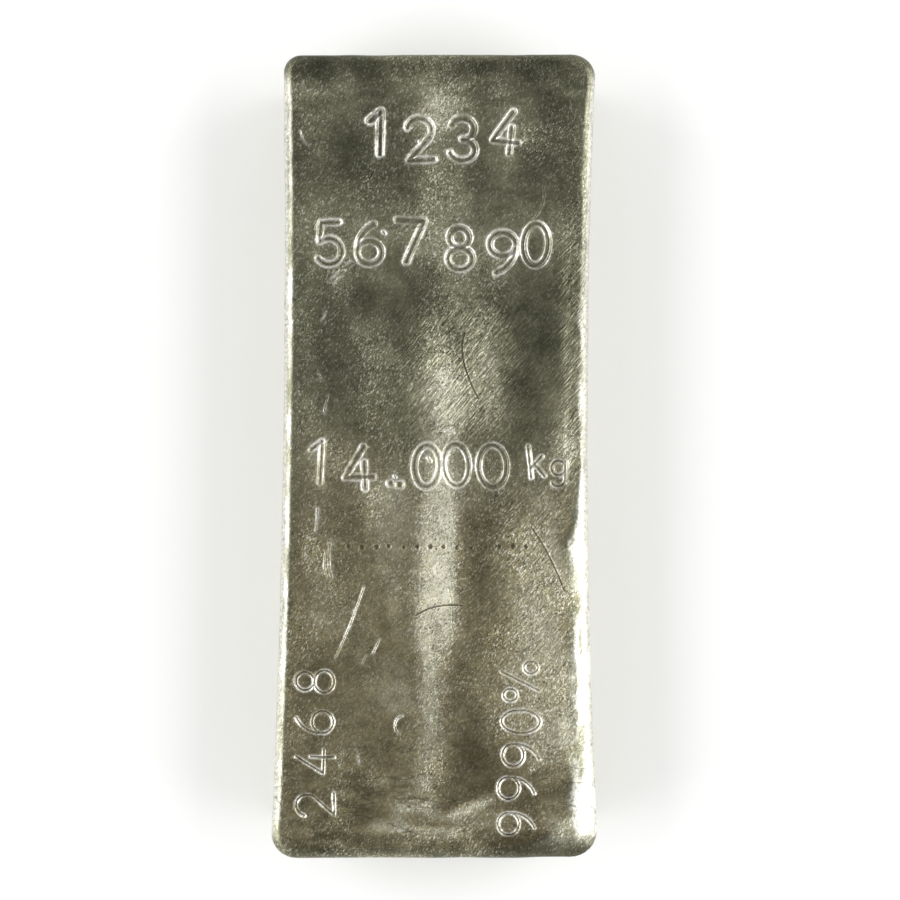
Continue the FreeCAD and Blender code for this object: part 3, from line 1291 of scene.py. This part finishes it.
@dataclass(frozen=True)
class SilverFinish:
    """Cast silver under a thin olive tarnish: speckled and brushed, with glints, highlights, reflections and
    shade painted into its colour.
    """

    olive: tuple = (1.01, 1.0, 0.66, 1.0)
    brown: tuple = (1.14, 1.0, 0.58, 1.0)
    silver: tuple = (1.02, 1.0, 0.77, 1.0)
    burnish_highlight: tuple = (0.96, 0.95, 0.87, 1.0)
    glinting: tuple = (0.92, 0.90, 0.76, 1.0)
    soil_shade_colour: tuple = (0.055, 0.048, 0.033, 1.0)
    roughness: float = 0.36
    grain: float = 0.38 * MM
    fleck: float = 1.1 * MM
    blotch: float = 6.0 * MM
    facet: float = 0.36 * MM
    facet_long: float = 0.75 * MM
    facet_angle: float = math.radians(62.0)
    crease: float = 11.0 * MM
    crease_stretch: tuple = (2.6, 0.7, 1.0)
    scuff_long: float = 5.0 * MM
    scuff_short: float = 0.5 * MM
    scuff_angle: float = math.radians(50.0)
    plain_light: float = 0.97
    least_light: float = 0.15
    grain_light: float = 1.9
    spark_light: float = 1.2
    shadow_dark: float = 0.50
    scuff_light: float = 3.3
    strand_light: float = 1.0
    glint_gloss: float = 3.4
    strand_gloss: float = 1.1
    silvered: float = 0.7
    rub_highlight: float = 0.95
    soil_shade_cover: float = 0.92
    crease_shade: float = 0.45

    def noise(
        self, sheet: NodeSheet, where: Linked, scale: float, detail: float, rough: float = 0.6
    ) -> Value:
        """A noise pattern about 0, from about -0.5 to 0.5."""
        node = sheet.add(
            "ShaderNodeTexNoise",
            {"noise_dimensions": "3D"},
            {"Vector": where, "Scale": scale, "Detail": detail, "Roughness": rough},
        )
        return sheet.value(node, 0) - 0.5

    def stretched(self, sheet: NodeSheet, place: Linked, scale: tuple, turn: float = 0.0) -> Linked:
        """Coordinates turned about +Z and divided by a scale, which stretches a pattern by that scale."""
        node = sheet.add(
            "ShaderNodeMapping",
            {"vector_type": "TEXTURE"},
            {"Vector": place, "Rotation": (0.0, 0.0, turn), "Scale": scale},
        )
        return node.outputs["Vector"]

    def stored(self, sheet: NodeSheet, name: str) -> Value:
        """One of the attributes that the bar stores."""
        node = sheet.add("ShaderNodeAttribute", {"attribute_name": name, "attribute_type": "GEOMETRY"})
        return sheet.value(node, "Fac")

    def mixed(
        self, sheet: NodeSheet, factor: Linked, first: Linked, second: Linked, how: str = "MIX"
    ) -> Linked:
        """A Mix node on two colours."""
        node = sheet.add(
            "ShaderNodeMix",
            {"data_type": "RGBA", "blend_type": how, "clamp_factor": True},
            {MixSocket.FACTOR.value: factor, MixSocket.FIRST.value: first, MixSocket.SECOND.value: second},
        )
        return node.outputs[MixSocket.RESULT.value]

    def material(self) -> bpy.types.Material:
        """Builds the material."""
        material = bpy.data.materials.new("tarnished_silver")
        material.use_nodes = True
        sheet = NodeSheet(material.node_tree)
        place = sheet.add("ShaderNodeTexCoord").outputs["Object"]
        tone, warm = self.stored(sheet, "tone"), self.stored(sheet, "warm")
        bright, soil_shade = self.stored(sheet, "bright"), self.stored(sheet, "soil_shade")
        hatch, skin = self.stored(sheet, "hatch"), self.stored(sheet, "skin")
        sparkle, folds = self.stored(sheet, "sparkle"), self.stored(sheet, "folds")

        grain = self.noise(sheet, place, 1.0 / self.grain, 2.0)
        fleck = self.noise(sheet, place, 1.0 / self.fleck, 3.0, 0.7)
        blotch = self.noise(sheet, place, 1.0 / self.blotch, 3.0)
        along = self.stretched(sheet, place, (self.scuff_long, self.scuff_short, 1.0), self.scuff_angle)
        scuff = self.noise(sheet, along, 1.0, 2.0, 0.5)
        strand_glint = scuff.eased(0.07, 0.24)
        spark = grain.eased(0.05, 0.20)
        across = self.stretched(sheet, place, (self.facet_long, self.facet, self.facet), self.facet_angle)
        facets = sheet.add("ShaderNodeTexVoronoi", {"feature": "F1"}, {"Vector": across, "Scale": 1.0})
        parts = sheet.add("ShaderNodeSeparateColor", {}, {"Color": facets.outputs["Color"]})
        glint = sheet.value(parts, "Red").eased(0.78, 1.0)
        shadow = sheet.value(parts, "Green").eased(0.70, 1.0)
        crease = self.stretched(sheet, place, self.crease_stretch)
        ridge = self.noise(sheet, crease, 1.0 / self.crease, 2.0, 0.45)
        # Crease lines of the folds: the colour darkens along them as painted shade, and the bump dips there.
        creased = (1.0 - ridge.absolute().eased(0.0, 0.016)) * folds

        uneven = (0.35 + 0.25 * skin) * fleck + 0.5 * blotch
        # Speckle: random grain, with painted glints on its brightest points and dark specks.
        speckle = self.grain_light * grain + self.spark_light * spark - self.shadow_dark * shadow
        # Brush scratches, lighter and darker, with painted glints along the brightest brush lines.
        brushing = self.scuff_light * scuff + self.strand_light * strand_glint
        level = self.plain_light + uneven + sparkle * speckle + hatch * brushing
        light = tone * level.at_least(self.least_light)
        tint = self.mixed(sheet, warm, self.olive, self.brown)
        tint = self.mixed(sheet, tone.eased(0.22, 0.50) * self.silvered, tint, self.silver)
        shade = sheet.add("ShaderNodeCombineColor", {}, {"Red": light, "Green": light, "Blue": light})
        metal = self.mixed(sheet, 1.0, tint, shade.outputs[0], "MULTIPLY")
        # Painted glints: bright grain facets and the brightest brush lines, mixed toward a pale glinting
        # colour.
        gloss = self.glint_gloss * glint * sparkle + self.strand_gloss * hatch * strand_glint
        metal = self.mixed(sheet, tone * gloss, metal, self.glinting)
        # Painted highlights, partly burnish, on the rims, the sides and the cut walls and lips.
        rub_highlight = (bright * (1.0 + 2.0 * fleck)).eased(0.0, 0.95)
        metal = self.mixed(sheet, rub_highlight * self.rub_highlight, metal, self.burnish_highlight)
        # Hollows darkened, partly soiling and partly painted shade, and crease lines darkened as painted
        # shade.
        metal = self.mixed(sheet, soil_shade * self.soil_shade_cover + creased * self.crease_shade, metal, self.soil_shade_colour)

        rough = self.roughness + 0.35 * uneven - 0.10 * bright + 0.25 * soil_shade
        grains = 0.14 * grain * sparkle + 0.18 * uneven
        height = grains + 0.30 * hatch * scuff + 0.15 * blotch - 0.05 * creased
        bump = sheet.add("ShaderNodeBump", {}, {"Strength": 1.0, "Distance": MM, "Height": height})
        shader = sheet.add(
            "ShaderNodeBsdfPrincipled",
            {"distribution": "MULTI_GGX"},
            {"Base Color": metal, "Metallic": 1.0, "Roughness": rough, "Normal": bump.outputs[0]},
        )
        sheet.add("ShaderNodeOutputMaterial", {}, {"Surface": shader.outputs[0]})
        return material


# ---------------------------------------------------------------------------------------------------------
# Studio


@dataclass
class Studio:
    """The pale floor, the soft lights, the dim ceiling and the camera straight above."""

    height: float
    floor_half: float = 9.0
    floor_shade: float = 0.95
    floor_gap: float = 0.02 * MM
    white_from: float = 0.4
    white_by: float = 1.2
    lamp_out: float = 1.25
    lamp_up: float = 1.05
    lamp_long: float = 1.8
    lamp_tall: float = 1.15
    lamp_radiance: float = 2.6
    overhead: float = 0.26
    walls: float = 0.80
    skirting: float = 1.0
    horizon: tuple[float, float] = (0.05, 0.35)
    zenith: tuple[float, float] = (0.66, 0.92)
    view_width: float = 312.5 * MM
    view_offset: tuple[float, float] = (5.47 * MM, 2.17 * MM)
    lens: float = 100.0
    sensor: float = 36.0

    def floor(self) -> None:
        """One large flat square."""
        half, low = self.floor_half, -self.floor_gap
        mesh = bpy.data.meshes.new("floor")
        corners = [(-half, -half, low), (half, -half, low), (half, half, low), (-half, half, low)]
        mesh.from_pydata(corners, [], [(0, 1, 2, 3)])
        floor = bpy.data.objects.new("floor", mesh)
        bpy.context.scene.collection.objects.link(floor)
        material = bpy.data.materials.new("pale_floor")
        material.use_nodes = True
        sheet = NodeSheet(material.node_tree)
        shade = self.floor_shade
        near = sheet.add("ShaderNodeBsdfDiffuse", {}, {"Color": (shade, shade, shade, 1.0)})
        white = sheet.add("ShaderNodeEmission", {}, {"Color": (1.0, 1.0, 1.0, 1.0), "Strength": 1.0})
        place = sheet.add("ShaderNodeTexCoord").outputs["Object"]
        reach = sheet.add("ShaderNodeVectorMath", {"operation": "LENGTH"}, {0: place})
        path = sheet.add("ShaderNodeLightPath")
        seen = sheet.value(path, "Is Camera Ray") + sheet.value(path, "Is Glossy Ray")
        far = sheet.value(reach, "Value").eased(self.white_from, self.white_by) * seen
        mixed = sheet.add("ShaderNodeMixShader", {}, {"Fac": far, 1: near.outputs[0], 2: white.outputs[0]})
        sheet.add("ShaderNodeOutputMaterial", {}, {"Surface": mixed.outputs[0]})
        mesh.materials.append(material)

    def lamp(self, name: str, side: float) -> None:
        """A soft box to one side, aimed at the bar. Its power is radiance times pi times its area."""
        light = bpy.data.lights.new(name, "AREA")
        light.shape = "RECTANGLE"
        light.size, light.size_y = self.lamp_tall, self.lamp_long
        light.energy = self.lamp_radiance * math.pi * self.lamp_tall * self.lamp_long
        lamp = bpy.data.objects.new(name, light)
        lamp.location = (side * self.lamp_out, 0.0, self.lamp_up)
        lamp.rotation_euler = (0.0, side * math.atan2(self.lamp_out, self.lamp_up), 0.0)
        bpy.context.scene.collection.objects.link(lamp)

    def world(self) -> None:
        """Pale walls, paler still at the horizon, and a dim patch overhead where the camera stands."""
        world = bpy.data.worlds.new("studio")
        world.use_nodes = True
        bpy.context.scene.world = world
        sheet = NodeSheet(world.node_tree)
        direction = sheet.add("ShaderNodeTexCoord").outputs["Generated"]
        parts = sheet.add("ShaderNodeSeparateXYZ", {}, {"Vector": direction})
        up = sheet.value(parts, "Z")
        low, high = 1.0 - up.eased(*self.horizon), up.eased(*self.zenith)
        strength = self.walls + (self.skirting - self.walls) * low + (self.overhead - self.walls) * high
        back = sheet.add("ShaderNodeBackground", {}, {"Color": (1.0, 1.0, 1.0, 1.0), "Strength": strength})
        sheet.add("ShaderNodeOutputWorld", {}, {"Surface": back.outputs[0]})

    def camera(self) -> None:
        """Looks straight down, far enough off for the rim's level to fill the view's width."""
        data = bpy.data.cameras.new("camera")
        data.lens, data.sensor_width = self.lens, self.sensor
        data.clip_start, data.clip_end = 0.01, 50.0
        camera = bpy.data.objects.new("camera", data)
        distance = self.view_width * self.lens / self.sensor
        camera.location = (*self.view_offset, self.height * MM + distance)
        bpy.context.scene.collection.objects.link(camera)
        bpy.context.scene.camera = camera

    def build(self) -> None:
        """Sets up everything round the bar."""
        self.floor()
        self.lamp("softbox_left", -1.0)
        self.lamp("softbox_right", 1.0)
        self.world()
        self.camera()
        bpy.context.scene.view_settings.view_transform = "Standard"


def main() -> None:
    """Builds the studio and the bar, and reports each piece."""
    logging.basicConfig(level=logging.INFO, format="%(name)s: %(message)s")
    low, high = (np.array(corner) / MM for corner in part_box(NODE))
    Studio(high[2]).build()
    log.info("studio ready")
    maker = SilverBar(low, high)
    bar, points = maker.build()
    maker.dress(bar, points)
    bar.data.materials.append(SilverFinish().material())
    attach(bar, "root")
    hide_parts(NODE)
    span = [edge for pair in zip(points.min(0), points.max(0)) for edge in pair]
    log.info("%s: %d points, x %.2f to %.2f, y %.2f to %.2f, z %.2f to %.2f", bar.name, len(points), *span)


if __name__ == "__main__":
    main()
